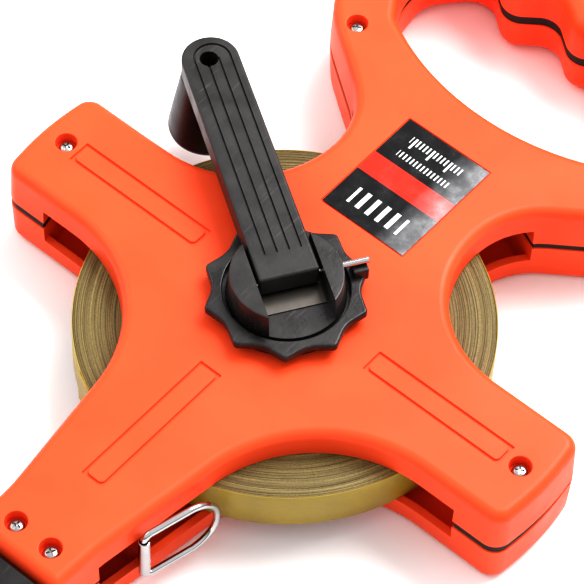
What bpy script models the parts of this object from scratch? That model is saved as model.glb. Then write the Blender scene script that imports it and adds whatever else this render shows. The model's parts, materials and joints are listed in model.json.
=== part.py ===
"""Open-frame surveyor's tape reel with a folding crank.

The origin is on the reel's axis, in the plane of the rear face. +Z points out of
the crank side, +Y points to the carrying handle and -Y to the tape's mouth.
Lengths are in millimetres and become metres when a mesh is made.
"""
import math

import bmesh
import bpy
from mathutils import Vector

MM = 0.001

# Frame: two mirrored moulded shells that meet on soft gaskets.
THICKNESS = 36.7
SEAM_Z = THICKNESS / 2
GAP = 0.3
WALL = 2.4
DRAFT = 0.5
EDGE_RADIUS = 3.5
GASKET_HALF = 1.2
GASKET_INSET = 0.7
SHELL_START = GASKET_HALF + GAP
ARC_STEP = math.radians(18)
ARC_CHORD = 9.0

# Half outline, clockwise from the top of the handle: x, y and corner radius.
FRAME_HALF = [
    (78.5, 185.0, 34.0),
    (78.5, 110.5, 40.0),
    (31.3, 76.2, 30.0),
    (31.3, 21.5, 39.0),
    (106.3, 21.5, 6.5),
    (109.4, 0.0, 100.0),
    (106.3, -21.5, 6.5),
    (31.6, -21.5, 50.0),
    (19.2, -110.0, 60.0),
    (18.6, -129.5, 3.0),
]
FINGER_PITCH = 29.5
RIDGE_Y = 153.5
GROOVE_Y = 165.0
HOLE_HALF = [
    (0.0, RIDGE_Y, 8.0),
    (FINGER_PITCH / 2, GROOVE_Y, 8.0),
    (FINGER_PITCH, RIDGE_Y, 8.0),
    (46.0, 167.0, 9.0),
    (60.5, 150.0, 14.0),
    (59.5, 132.0, 25.0),
    (49.5, 117.0, 8.0),
    (0.0, 92.4, 99.0),
]

# Tape roll and the round chamber that holds it, open between the arms.
ROLL_RADIUS = 70.0
ROLL_BORE = 20.3
TAPE_WIDTH = 15.5
TAPE_THICK = 0.5
CHAMBER_RADIUS = 91.0
CHAMBER_HALF = 8.05
CHAMBER_WALL = 2.2
DRUM_RADIUS = 20.0
DRUM_WALL = 2.0
DRUM_LOW = 10.8
DRUM_TOP = 25.9
DRUM_WEB = (17.0, 19.4)
DRUM_HUB_RADIUS = 8.5
DRUM_HUB_TOP = 27.6

# Fasteners of the frame.
SCREW_SPOTS = [
    (97.3, 0.0), (-97.3, 0.0), (7.3, -119.8), (-7.3, -119.8),
    (58.0, 105.5), (-58.0, 105.5), (67.0, 165.0), (-67.0, 165.0),
]
SCREW_BOSS = 5.2
COUNTERBORE = 3.75
SCREW_HEAD = 2.6
SCREW_HEAD_TOP = THICKNESS - 2.2
SCREW_HEAD_LOW = SCREW_HEAD_TOP - 1.8
SCREW_SHANK = 1.3
SCREW_TIP = 7.0

# Mouth arm: tape channel, side window and end guard.
CHANNEL_HALF = 2.6
MOUTH_END = -129.5
GUARD_END = -142.5
CHANNEL_START = -80.0
CHANNEL_Z = (9.6, 27.1)
WINDOW_END = -111.0
WINDOW_START = -84.0
WINDOW_X = (11.0, 32.0)
GUARD_HALF = 18.2
GUARD_LOW = 3.0
GUARD_TOP = 33.7
GUARD_EDGE = 2.0

# Face details: a sticker in a shallow seat, and three outlined panels.
LABEL = (-17.3, 17.3, 38.7, 84.7)
LABEL_LOW = 36.5
LABEL_TOP = 36.85
LABEL_MARGIN = 0.4
LINE_DEPTH = 0.6
LINE_WIDTH = 1.0
PANELS = [(36.2, 91.7, -4.4, 4.4), (-91.7, -36.2, -4.4, 4.4), (-4.4, 4.4, -93.2, -36.6)]

# Hub, from the rear socket to the crank.
SOCKET_OUTER = 9.0
SOCKET_BORE = 6.3
JOURNAL = 4.0
HEX_RADIUS = 5.2
HUB_BORE = 11.0
STEM_RADIUS = 8.5
STEM_LOW = 28.5
BUSH_LOW = 28.0
BUSH_TOP = 36.4
SPINDLE_LOW = 3.1
HEX_LOW = 10.2
HEX_TOP = 37.6
HEAD_RADIUS = 4.4
HEAD_LOW = 38.1
HEAD_TOP = 40.8
SPINDLE_THREAD = 1.7
FLANGE_RADIUS = 23.4
FLANGE_TOP = 39.5
FLANGE_LOW = 37.85
DISC_TOP = 42.8
DISC_LOW = 39.8
DISC_BORE = 20.9
CUSP_RADIUS = 27.9
HOLLOW_RADIUS = 24.0
HOLLOW_FILLET = 9.5
CUSP_FILLET = 0.6
CUSP_COUNT = 10
CUSP_ANGLE = math.radians(22.0)
CHEEK_RADIUS = 19.5
CHEEK_TOP_RADIUS = 18.7
CHEEK_TOP = 50.7
SLOT_SIDE = -0.7
SLOT_HALF = 11.3
SLOT_FLOOR = 42.0
SPRING_TOP = 42.4
SPRING_LOW = 42.1
SPRING_HALF = 8.5
LUG_HALF = 2.5
LUG_OUTER = 27.4
LUG_INNER = 22.0

# Crank: built along local +X, then turned to its stowed direction.
CRANK_YAW = math.radians(147.2)
PIN_X = 0.6
PIN_Z = 47.3
PIN_RADIUS = 1.1
PIN_STUB = 28.2
PIN_END = 16.4
ARM_START = -1.2
ARM_SIDE = -0.6
ARM_HALF = 10.3
ARM_HALF_DEPTH = 4.1
ARM_EDGE = 0.8
ARM_GROOVES = (-7.4, -3.3, 0.7, 4.9)
GROOVE_START = 8.0
GROOVE_END = 88.0
GRIP_X = 92.3
TIP_RADIUS = 10.0
TIP_HOLE = 3.2
GRIP_TOP = 42.9
GRIP_LOW = 15.4
GRIP_TOP_RADIUS = 9.6
GRIP_LOW_RADIUS = 14.0
GRIP_BORE = 7.2
GRIP_SEAT = 20.8
POST_RADIUS = 5.0
POST_LOW = 20.4

# Tape-end ring, parked in an upright plane beside the mouth arm.
RING_X = 24.0
RING_Y = -95.5
RING_Z = 19.0
RING_YAW = math.radians(75.5)
RING_WIRE = 1.2
WIRE_SIDES = 10
RING_LENGTH = 27.6
RING_HALF = 11.6
RING_RISE = 0.8
CLIP_HALF = 8.9
CLIP_RADIUS = 1.95
CLIP_BORE = RING_WIRE + GAP


def collection(name):
    made = bpy.data.collections.new(name)
    bpy.context.scene.collection.children.link(made)
    return made


def finish(name, colour, roughness, metallic=0.0):
    """Return a Principled material, made once for each name."""
    material = bpy.data.materials.get(name)
    if material is None:
        material = bpy.data.materials.new(name)
        material.use_nodes = True
        shader = material.node_tree.nodes["Principled BSDF"]
        shader.inputs["Base Color"].default_value = (*colour, 1.0)
        shader.inputs["Roughness"].default_value = roughness
        shader.inputs["Metallic"].default_value = metallic
    return material


def orange():
    return finish("orange_plastic", (1.0, 0.13, 0.03), 0.4)


def black():
    return finish("black_plastic", (0.022, 0.021, 0.02), 0.42)


def rubber():
    return finish("black_rubber", (0.03, 0.028, 0.028), 0.7)


def steel():
    return finish("plated_steel", (0.75, 0.75, 0.76), 0.18, 1.0)


def nylon():
    return finish("natural_nylon", (0.75, 0.72, 0.64), 0.5)


def tape():
    return finish("tape_edge", (0.42, 0.33, 0.1), 0.55)


def add_mesh(name, mesh, material=None, yaw=0.0):
    """Put a mesh in the scene: a sub-part with a material, or a hidden cutter."""
    made = bpy.data.objects.new(name, mesh)
    made.rotation_euler.z = yaw
    if material is None:
        CUTTERS.objects.link(made)
        made.hide_render = True
        made.display_type = "WIRE"
    else:
        PARTS.objects.link(made)
        mesh.materials.append(material)
    return made


def smooth(made, angle=40.0):
    made.data.shade_smooth()
    made.data.set_sharp_from_angle(angle=math.radians(angle))
    return made


def mirrored(half):
    """Close a clockwise right half into a whole anticlockwise outline."""
    left = [(-x, y, radius) for x, y, radius in reversed(half) if x > 0]
    return list(reversed(half + left))


def rounded(corners, inset=0.0):
    """Points of an outline with filleted corners, moved inward by inset."""
    count = len(corners)
    spots = [Vector((x, y)) for x, y, _ in corners]
    ways = [(spots[(i + 1) % count] - spots[i]).normalized() for i in range(count)]
    points = []
    for i, (_, _, radius) in enumerate(corners):
        before, after = ways[i - 1], ways[i]
        turn = before.angle_signed(after) * -1.0
        inward = Vector((-before.y - after.y, before.x + after.x)).normalized()
        corner = spots[i] + inward * inset / math.cos(turn / 2)
        fillet = max(radius - inset * math.copysign(1.0, turn), 0.2)
        centre = corner + inward * math.copysign(fillet, turn) / math.cos(turn / 2)
        steps = max(2, round(abs(turn) / ARC_STEP), round(abs(turn) * radius / ARC_CHORD))
        for k in range(steps + 1):
            swing = -turn / 2 + turn * k / steps
            spoke = -inward * math.copysign(fillet, turn)
            points.append(centre + Vector((
                spoke.x * math.cos(swing) - spoke.y * math.sin(swing),
                spoke.x * math.sin(swing) + spoke.y * math.cos(swing))))
    return points


def loft(name, corners, levels, material=None, yaw=0.0):
    """A solid whose sections are one outline at several heights and insets."""
    body = bmesh.new()
    rings = []
    for height, inset in levels:
        rings.append([body.verts.new((p.x * MM, p.y * MM, height * MM))
                      for p in rounded(corners, inset)])
    for low, high in zip(rings, rings[1:]):
        for i in range(len(low)):
            body.faces.new((low[i - 1], low[i], high[i], high[i - 1]))
    body.faces.new(rings[0])
    body.faces.new(rings[-1])
    bmesh.ops.recalc_face_normals(body, faces=body.faces)
    mesh = bpy.data.meshes.new(name)
    body.to_mesh(mesh)
    body.free()
    return add_mesh(name, mesh, material, yaw)


def slab(name, corners, low, high, material=None, yaw=0.0):
    return loft(name, corners, [(low, 0.0), (high, 0.0)], material, yaw)


def box(name, low, high, material=None, yaw=0.0):
    """A block between two opposite corners."""
    body = bmesh.new()
    bmesh.ops.create_cube(body, size=1.0)
    size = [b - a for a, b in zip(low, high)]
    middle = [(a + b) / 2 for a, b in zip(low, high)]
    bmesh.ops.scale(body, vec=[s * MM for s in size], verts=body.verts)
    bmesh.ops.translate(body, vec=[m * MM for m in middle], verts=body.verts)
    mesh = bpy.data.meshes.new(name)
    body.to_mesh(mesh)
    body.free()
    return add_mesh(name, mesh, material, yaw)


def cylinder(name, spot, radius, low, high, material=None, sides=32, top=None):
    """An upright cylinder or, with another top radius, a cone."""
    body = bmesh.new()
    bmesh.ops.create_cone(body, cap_ends=True, segments=sides, radius1=radius * MM,
                          radius2=(radius if top is None else top) * MM,
                          depth=(high - low) * MM)
    middle = (spot[0] * MM, spot[1] * MM, (low + high) / 2 * MM)
    bmesh.ops.translate(body, vec=middle, verts=body.verts)
    mesh = bpy.data.meshes.new(name)
    body.to_mesh(mesh)
    body.free()
    return add_mesh(name, mesh, material)


def turned(name, profile, material, spot=(0.0, 0.0), sides=48, closed=False, yaw=0.0):
    """A turned piece: its (radius, height) profile, run down the outer side."""
    mesh = bpy.data.meshes.new(name)
    edges = [(i, i + 1) for i in range(len(profile) - 1)]
    if closed:
        edges.append((len(profile) - 1, 0))
    points = [(radius * MM, 0.0, height * MM) for radius, height in profile]
    mesh.from_pydata(points, edges, [])
    made = add_mesh(name, mesh, material)
    made.location.xy = (spot[0] * MM, spot[1] * MM)
    made.rotation_euler.z = yaw
    screw = made.modifiers.new("turn", "SCREW")
    screw.steps = sides
    screw.render_steps = sides
    screw.use_merge_vertices = True
    screw.merge_threshold = 0.00001
    screw.use_smooth_shade = False
    return made


def cross_rod(name, x, z, radius, y_from, y_to, material=None, sides=16):
    """A rod along the crank's local Y."""
    body = bmesh.new()
    bmesh.ops.create_cone(body, cap_ends=True, segments=sides, radius1=radius * MM,
                          radius2=radius * MM, depth=abs(y_to - y_from) * MM)
    made_flat = [(v.co.x, v.co.z, -v.co.y) for v in body.verts]
    for vert, place in zip(body.verts, made_flat):
        vert.co = place
    middle = (x * MM, (y_from + y_to) / 2 * MM, z * MM)
    bmesh.ops.translate(body, vec=middle, verts=body.verts)
    bmesh.ops.recalc_face_normals(body, faces=body.faces)
    mesh = bpy.data.meshes.new(name)
    body.to_mesh(mesh)
    body.free()
    return add_mesh(name, mesh, material, CRANK_YAW)


def combine(target, tool, operation="DIFFERENCE"):
    step = target.modifiers.new(operation.lower(), "BOOLEAN")
    step.operation = operation
    step.solver = "EXACT"
    step.object = tool
    return target


def rectangle(x_low, x_high, y_low, y_high, radius=0.5):
    """Anticlockwise corners of an upright rectangle."""
    return [(x_low, y_low, radius), (x_high, y_low, radius),
            (x_high, y_high, radius), (x_low, y_high, radius)]


def edge_levels(side, sign=1.0):
    """Heights and insets of a shell's wall and its rounded face edge."""
    levels = [(SEAM_Z + side * SHELL_START, 0.0)]
    shoulder = SEAM_Z - EDGE_RADIUS
    for k in range(4):
        angle = math.radians(30 * k)
        height = shoulder + EDGE_RADIUS * math.sin(angle)
        inset = DRAFT + EDGE_RADIUS * (1 - math.cos(angle))
        levels.append((SEAM_Z + side * height, sign * inset))
    return levels


def at(side, height):
    """Height above the seam turned into z, for the front or the rear shell."""
    return SEAM_Z + side * height


def shell_pocket(name, side):
    """The hollow of one shell, with its inner walls and bosses left standing."""
    inset = WALL + DRAFT
    pocket = loft(name, mirrored(FRAME_HALF), [(at(side, -1.0), inset),
                                               (at(side, SEAM_Z - WALL), inset)])
    below, above = sorted((at(side, -3.0), at(side, SEAM_Z + 2.0)))
    wall = cylinder(name + "_wall", (0, 0), CHAMBER_RADIUS + CHAMBER_WALL, below, above, sides=72)
    combine(wall, cylinder(name + "_wall_bore", (0, 0), CHAMBER_RADIUS, below - 1, above + 1,
                           sides=72))
    combine(pocket, wall)
    combine(pocket, loft(name + "_hole_wall", mirrored(HOLE_HALF),
                         [(below, -inset), (above, -inset)]))
    for i, spot in enumerate(SCREW_SPOTS):
        combine(pocket, cylinder(f"{name}_boss_{i}", spot, SCREW_BOSS, below, above, sides=12))
    return pocket


def shell(name, side):
    """One moulded half of the frame: side is 1 for the front, -1 for the rear."""
    body = loft(name, mirrored(FRAME_HALF), edge_levels(side), orange())
    pocket = shell_pocket(name + "_pocket", side)
    if side > 0:
        combine(pocket, cylinder("front_socket", (0, 0), HUB_BORE + 2.5, 28.0, 40.0))
    else:
        combine(pocket, cylinder("rear_socket", (0, 0), SOCKET_OUTER, -2.0, 9.6))
    combine(body, pocket)
    low, high = sorted((at(side, -2.0), at(side, CHAMBER_HALF)))
    combine(body, cylinder(name + "_chamber", (0, 0), CHAMBER_RADIUS, low, high, sides=72))
    flare = edge_levels(side, -1.0)
    flare.insert(0, (at(side, -2.0), 0.0))
    flare.append((at(side, SEAM_Z + 2.0), flare[-1][1]))
    combine(body, loft(name + "_finger_hole", mirrored(HOLE_HALF), flare))
    combine(body, box(name + "_channel", (-CHANNEL_HALF, MOUTH_END - 5, low),
                      (CHANNEL_HALF, CHANNEL_START, high)))
    combine(body, box(name + "_window", (WINDOW_X[0], WINDOW_END, low),
                      (WINDOW_X[1], WINDOW_START, high)))
    drill_low = SCREW_TIP - 1.0
    for i, spot in enumerate(SCREW_SPOTS):
        combine(body, cylinder(f"{name}_drill_{i}", spot, SCREW_SHANK + GAP, drill_low,
                               THICKNESS + 1, sides=8))
        if side > 0:
            combine(body, cylinder(f"{name}_counterbore_{i}", spot, COUNTERBORE,
                                   SCREW_HEAD_LOW - GAP, THICKNESS + 1, sides=16))
    if side > 0:
        combine(body, cylinder("hub_bore", (0, 0), HUB_BORE, 25.0, 40.0))
        x_low, x_high, y_low, y_high = LABEL
        combine(body, slab("label_seat", rectangle(
            x_low - LABEL_MARGIN, x_high + LABEL_MARGIN, y_low - LABEL_MARGIN,
            y_high + LABEL_MARGIN), LABEL_LOW - GAP, THICKNESS + 1))
        for i, (x_low, x_high, y_low, y_high) in enumerate(PANELS):
            groove = slab(f"panel_line_{i}", rectangle(x_low, x_high, y_low, y_high),
                          THICKNESS - LINE_DEPTH, THICKNESS + 1)
            combine(groove, slab(f"panel_field_{i}", rectangle(
                x_low + LINE_WIDTH, x_high - LINE_WIDTH, y_low + LINE_WIDTH,
                y_high - LINE_WIDTH), THICKNESS - 2, THICKNESS + 2))
            combine(body, groove)
    else:
        combine(body, cylinder("journal_socket", (0, 0), SOCKET_BORE, WALL, 12.0))
    return smooth(body, 25.0)


def gasket(name, region, openings=()):
    """A soft flat seal between the shells, within one region of the outline."""
    body = loft(name, mirrored(FRAME_HALF), [(SEAM_Z - GASKET_HALF, GASKET_INSET),
                                             (SEAM_Z + GASKET_HALF, GASKET_INSET)], rubber())
    x_low, x_high, y_low, y_high = region
    combine(body, box(name + "_region", (x_low, y_low, 5), (x_high, y_high, 32)), "INTERSECT")
    combine(body, cylinder(name + "_chamber", (0, 0), CHAMBER_RADIUS + 0.4, 5, 32, sides=72))
    for i, spot in enumerate(SCREW_SPOTS):
        if x_low < spot[0] < x_high and y_low < spot[1] < y_high:
            combine(body, cylinder(f"{name}_hole_{i}", spot, SCREW_SHANK + GAP, 5, 32, sides=12))
    for tool in openings:
        combine(body, tool)
    return body


def gaskets():
    gasket("left_gasket", (-120, -60, -30, 30))
    gasket("right_gasket", (60, 120, -30, 30))
    channel = box("mouth_gasket_channel", (-CHANNEL_HALF, -140, 5), (CHANNEL_HALF, -100.0, 32))
    window = box("mouth_gasket_window", (WINDOW_X[0], WINDOW_END, 5), (WINDOW_X[1], WINDOW_START, 32))
    gasket("mouth_gasket", (-30, 30, -140, -95), (channel, window))
    hole = loft("handle_gasket_hole", mirrored(HOLE_HALF), [(5, -0.4), (32, -0.4)])
    gasket("handle_gasket", (-120, 120, 60, 200), (hole,))


def case_screws():
    """Pan-head screws that draw the two shells together."""
    profile = [(0.0, SCREW_HEAD_TOP), (SCREW_HEAD * 0.8, SCREW_HEAD_TOP),
               (SCREW_HEAD, SCREW_HEAD_TOP - 0.7), (SCREW_HEAD, SCREW_HEAD_LOW),
               (SCREW_SHANK, SCREW_HEAD_LOW), (SCREW_SHANK, SCREW_TIP), (0.0, SCREW_TIP)]
    for i, spot in enumerate(SCREW_SPOTS):
        turned(f"case_screw_{i + 1}", profile, steel(), spot, sides=12)


def mouth_guard():
    """Black end piece of the mouth arm, with the tape's slot through it."""
    outline = rectangle(-GUARD_HALF, GUARD_HALF, GUARD_END, MOUTH_END - GAP, 3.0)
    guard = loft("mouth_guard", outline, [
        (GUARD_LOW, GUARD_EDGE), (GUARD_LOW + GUARD_EDGE, 0.0), (GUARD_TOP - GUARD_EDGE, 0.0),
        (GUARD_TOP, GUARD_EDGE)], black())
    combine(guard, box("guard_slot", (-CHANNEL_HALF, GUARD_END - 2, CHANNEL_Z[0]),
                       (CHANNEL_HALF, MOUTH_END + 2, CHANNEL_Z[1])))


def hub():
    """Bushes, spindle, drum, tape, and the boss and finger disc on top."""
    turned("rear_bush", [(6.0, 9.6), (6.0, 2.8), (4.3, 2.8), (4.3, 9.6)], nylon(), closed=True,
           sides=32)
    turned("front_bush", [
        (HUB_BORE - GAP, BUSH_TOP), (HUB_BORE - GAP, BUSH_LOW), (STEM_RADIUS + GAP, BUSH_LOW),
        (STEM_RADIUS + GAP, BUSH_TOP)], nylon(), closed=True, sides=32)
    turned("thrust_washer", [(19.5, 37.55), (19.5, 37.0), (12.0, 37.0), (12.0, 37.55)], nylon(),
           closed=True, sides=40)
    spindle = cylinder("spindle", (0, 0), HEX_RADIUS, HEX_LOW, HEX_TOP, steel(), sides=6)
    combine(spindle, cylinder("spindle_journal", (0, 0), JOURNAL, SPINDLE_LOW, HEX_LOW + 0.2,
                              sides=24), "UNION")
    combine(spindle, cylinder("spindle_tapping", (0, 0), SPINDLE_THREAD + GAP, 26.0, 40.0,
                              sides=16))
    turned("spindle_screw", [
        (0.0, HEAD_TOP), (HEAD_RADIUS - 0.4, HEAD_TOP), (HEAD_RADIUS, HEAD_TOP - 0.4),
        (HEAD_RADIUS, HEAD_LOW), (SPINDLE_THREAD, HEAD_LOW), (SPINDLE_THREAD, 27.0),
        (0.0, 27.0)], steel(), sides=24)
    rim = DRUM_RADIUS - DRUM_WALL
    web_low, web_high = DRUM_WEB
    drum = turned("spool_drum", [
        (DRUM_RADIUS, DRUM_TOP), (DRUM_RADIUS, DRUM_LOW), (rim, DRUM_LOW), (rim, web_low),
        (DRUM_HUB_RADIUS, web_low), (DRUM_HUB_RADIUS, DRUM_LOW), (2.0, DRUM_LOW),
        (2.0, DRUM_HUB_TOP), (DRUM_HUB_RADIUS, DRUM_HUB_TOP), (DRUM_HUB_RADIUS, web_high),
        (rim, web_high), (rim, DRUM_TOP)], black(), closed=True)
    combine(drum, cylinder("drum_bore", (0, 0), HEX_RADIUS + 0.35, 5.0, 30.0, sides=6))
    half = TAPE_WIDTH / 2
    turned("tape_roll", [(ROLL_RADIUS, SEAM_Z + half), (ROLL_RADIUS, SEAM_Z - half),
                         (ROLL_BORE, SEAM_Z - half), (ROLL_BORE, SEAM_Z + half)], tape(),
           closed=True, sides=96)
    crank_boss()
    knob_disc()


def crank_boss():
    """Turned boss with two upright cheeks that hold the crank's hinge pin."""
    boss = turned("crank_boss", [
        (0.0, CHEEK_TOP), (CHEEK_TOP_RADIUS - 0.5, CHEEK_TOP),
        (CHEEK_TOP_RADIUS, CHEEK_TOP - 0.5), (CHEEK_RADIUS, SLOT_FLOOR),
        (CHEEK_RADIUS, FLANGE_TOP), (FLANGE_RADIUS, FLANGE_TOP), (FLANGE_RADIUS, FLANGE_LOW),
        (STEM_RADIUS, FLANGE_LOW), (STEM_RADIUS, STEM_LOW), (0.0, STEM_LOW)], black(), sides=44,
        yaw=CRANK_YAW)
    low, high = SLOT_SIDE - SLOT_HALF, SLOT_SIDE + SLOT_HALF
    combine(boss, box("crank_slot", (-30, low, SLOT_FLOOR), (30, high, 60), yaw=CRANK_YAW))
    pocket = SPRING_HALF + GAP
    combine(boss, box("spring_pocket", (-pocket, low + 0.6, SPRING_LOW - GAP),
                      (pocket, high - 0.6, 44.0), yaw=CRANK_YAW))
    combine(boss, cylinder("screw_head_pocket", (0, 0), 4.8, 37.8, 44.0, sides=32))
    combine(boss, cylinder("boss_bore", (0, 0), HEX_RADIUS + 0.35, 20.0, 38.0, sides=6))
    combine(boss, cross_rod("pin_bore", PIN_X, PIN_Z, PIN_RADIUS + GAP, -25, PIN_END + GAP))
    box("detent_spring", (-SPRING_HALF, low + 0.9, SPRING_LOW),
        (SPRING_HALF, high - 0.9, SPRING_TOP), steel(), CRANK_YAW)
    smooth(boss)


def scalloped():
    """Ten pointed cusps joined by shallow hollows, as outline corners."""
    corners = []
    for k in range(CUSP_COUNT):
        cusp = CUSP_ANGLE + math.tau * k / CUSP_COUNT
        hollow = cusp + math.pi / CUSP_COUNT
        for angle, radius, fillet in ((cusp, CUSP_RADIUS, CUSP_FILLET),
                                      (hollow, HOLLOW_RADIUS, HOLLOW_FILLET)):
            corners.append((radius * math.cos(angle), radius * math.sin(angle), fillet))
    return corners


def knob_disc():
    """Scalloped finger disc, carried on the boss and keyed by the pin's stub."""
    disc = loft("knob_disc", scalloped(), [(DISC_LOW, 0.6), (DISC_LOW + 0.6, 0.0),
                                           (DISC_TOP - 0.6, 0.0), (DISC_TOP, 0.6)], black())
    combine(disc, cylinder("disc_bore", (0, 0), DISC_BORE, 30, 50, sides=64))
    combine(disc, box("pin_lug", (-LUG_HALF, -LUG_OUTER, DISC_LOW + 1.0),
                      (LUG_HALF, -LUG_INNER, PIN_Z - PIN_RADIUS - GAP), yaw=CRANK_YAW), "UNION")


def crank():
    """Folding arm, its hinge pin, and the freely turning grip on its post."""
    cross_rod("hinge_pin", PIN_X, PIN_Z, PIN_RADIUS, -PIN_STUB, PIN_END, steel())
    tip = GRIP_X + TIP_RADIUS
    low, high = PIN_Z - ARM_HALF_DEPTH, PIN_Z + ARM_HALF_DEPTH
    corner = TIP_RADIUS - 0.1
    arm_outline = [(ARM_START, ARM_SIDE - ARM_HALF, 0.8), (tip, ARM_SIDE - TIP_RADIUS, corner),
                   (tip, ARM_SIDE + TIP_RADIUS, corner), (ARM_START, ARM_SIDE + ARM_HALF, 0.8)]
    arm = loft("crank_arm", arm_outline, [(low, 0.0), (high - ARM_EDGE, 0.0),
                                          (high, ARM_EDGE)], black(), CRANK_YAW)
    combine(arm, cross_rod("arm_pin_bore", PIN_X, PIN_Z, PIN_RADIUS + GAP, -20, 20))
    post_spot = (GRIP_X * math.cos(CRANK_YAW), GRIP_X * math.sin(CRANK_YAW))
    combine(arm, cylinder("tip_hole", post_spot, TIP_HOLE, 30, 60, sides=24))
    for i, (y_low, y_high) in enumerate(((-8.2, -1.4), (0.2, 7.0))):
        combine(arm, slab(f"arm_pocket_{i}", rectangle(9.0, 78.0, y_low, y_high, 2.0), low - 2,
                          high - 2.6, yaw=CRANK_YAW))
    for i, line in enumerate(ARM_GROOVES):
        combine(arm, box(f"arm_groove_{i}", (GROOVE_START, line - 0.3, high - 0.6),
                         (GROOVE_END, line + 0.3, high + 1), yaw=CRANK_YAW))
    turned("grip_post", [(POST_RADIUS, low - GAP), (POST_RADIUS, POST_LOW), (1.9, POST_LOW), (1.9, 34.0),
                         (TIP_HOLE, 34.0), (TIP_HOLE, low - GAP)], black(), post_spot, sides=32,
           closed=True)
    turned("grip_screw", [(0.0, 33.0), (1.5, 33.0), (1.5, 20.0), (6.6, 20.0), (6.6, 18.6),
                          (5.0, 17.8), (0.0, 17.8)], steel(), post_spot, sides=24)
    grip_profile = [(GRIP_TOP_RADIUS - 0.8, GRIP_TOP), (GRIP_TOP_RADIUS, GRIP_TOP - 0.8),
                    (GRIP_LOW_RADIUS, GRIP_LOW + 1.6), (GRIP_LOW_RADIUS - 0.5, GRIP_LOW + 0.4),
                    (GRIP_LOW_RADIUS - 1.6, GRIP_LOW), (GRIP_BORE, GRIP_LOW), (GRIP_BORE, GRIP_SEAT),
                    (POST_RADIUS + GAP, GRIP_SEAT), (POST_RADIUS + GAP, GRIP_TOP)]
    smooth(turned("crank_grip", grip_profile, black(), post_spot, sides=32, closed=True))
    return post_spot


def label():
    slab("front_label", rectangle(*LABEL, 0.6), LABEL_LOW, LABEL_TOP,
         finish("label_print", (0.02, 0.02, 0.022), 0.3))


def ring_point(along, up):
    """A point of the ring's upright plane."""
    return Vector((RING_X + along * math.cos(RING_YAW), RING_Y + along * math.sin(RING_YAW),
                   RING_Z + up)) * MM


def ring_across():
    """The level direction square to the ring's plane."""
    return Vector((-math.sin(RING_YAW), math.cos(RING_YAW), 0.0))


def wire_ring(name, outline, radius, material):
    """A closed round wire in the ring's plane, with mitred sections."""
    spots = rounded(outline)
    body = bmesh.new()
    rings = []
    for i, spot in enumerate(spots):
        before = (spot - spots[i - 1]).normalized()
        after = (spots[(i + 1) % len(spots)] - spot).normalized()
        along = (before + after).normalized()
        mitre = Vector((-along.y, along.x)) / along.dot(after)
        ring = []
        for k in range(WIRE_SIDES):
            angle = math.tau * k / WIRE_SIDES
            flat = spot + mitre * radius * math.cos(angle)
            place = ring_point(flat.x, flat.y) + ring_across() * radius * math.sin(angle) * MM
            ring.append(body.verts.new(place))
        rings.append(ring)
    for i, ring in enumerate(rings):
        for k in range(WIRE_SIDES):
            body.faces.new((rings[i - 1][k - 1], rings[i - 1][k], ring[k], ring[k - 1]))
    bmesh.ops.recalc_face_normals(body, faces=body.faces)
    mesh = bpy.data.meshes.new(name)
    body.to_mesh(mesh)
    body.free()
    return add_mesh(name, mesh, material)


def tape_end():
    """The tape's free end, its folded metal clip and the pull ring."""
    low, high = RING_RISE - RING_HALF, RING_RISE + RING_HALF
    outline = [(0.0, low, 2.5), (RING_LENGTH, low, 10.8), (RING_LENGTH, high, 10.8),
               (0.0, high, 2.5)]
    smooth(wire_ring("end_ring", outline, RING_WIRE, steel()))
    clip_low, clip_high = RING_Z + RING_RISE - CLIP_HALF, RING_Z + RING_RISE + CLIP_HALF
    turned("ring_clip", [(CLIP_RADIUS, clip_high), (CLIP_RADIUS, clip_low),
                         (CLIP_BORE, clip_low), (CLIP_BORE, clip_high)],
           steel(), (RING_X, RING_Y), sides=20, closed=True)
    tape_lead()


def tape_lead():
    """A strip from the roll's rim, inside the mouth arm, to the clip."""
    clip = Vector((RING_X, RING_Y))
    start = clip + Vector((-0.62, 0.78)) * (CLIP_RADIUS + GAP)
    route = [start, start + Vector((-0.66, 0.75)) * 9.0]
    leave = math.radians(-121.0)
    reach = ROLL_RADIUS + TAPE_THICK / 2 + GAP
    rim = Vector((math.cos(leave), math.sin(leave))) * reach
    route += [route[1].lerp(rim, 0.3) + Vector((-0.8, -0.8)), route[1].lerp(rim, 0.7), rim]
    side_low, side_high = [], []
    for i, point in enumerate(route):
        ahead = route[min(i + 1, len(route) - 1)] - route[max(i - 1, 0)]
        across = Vector((-ahead.y, ahead.x)).normalized() * TAPE_THICK / 2
        side_low.append(point - across)
        side_high.append(point + across)
    corners = side_low + side_high[::-1]
    body = bmesh.new()
    half = TAPE_WIDTH / 2
    face = body.faces.new([body.verts.new((p.x * MM, p.y * MM, (SEAM_Z - half) * MM))
                           for p in corners])
    raised = bmesh.ops.extrude_face_region(body, geom=[face])
    verts = [item for item in raised["geom"] if isinstance(item, bmesh.types.BMVert)]
    bmesh.ops.translate(body, vec=(0, 0, TAPE_WIDTH * MM), verts=verts)
    bmesh.ops.recalc_face_normals(body, faces=body.faces)
    mesh = bpy.data.meshes.new("tape_lead")
    body.to_mesh(mesh)
    body.free()
    return add_mesh("tape_lead", mesh, tape())


def hang(axis_name, place, names):
    """Parent pieces to an empty that stands on their joint's axis."""
    axis = bpy.data.objects.new(axis_name, None)
    axis.location = place
    PARTS.objects.link(axis)
    bpy.context.view_layer.update()
    for name in names:
        piece = bpy.data.objects[name]
        piece.parent = axis
        piece.matrix_parent_inverse = axis.matrix_world.inverted()


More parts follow.
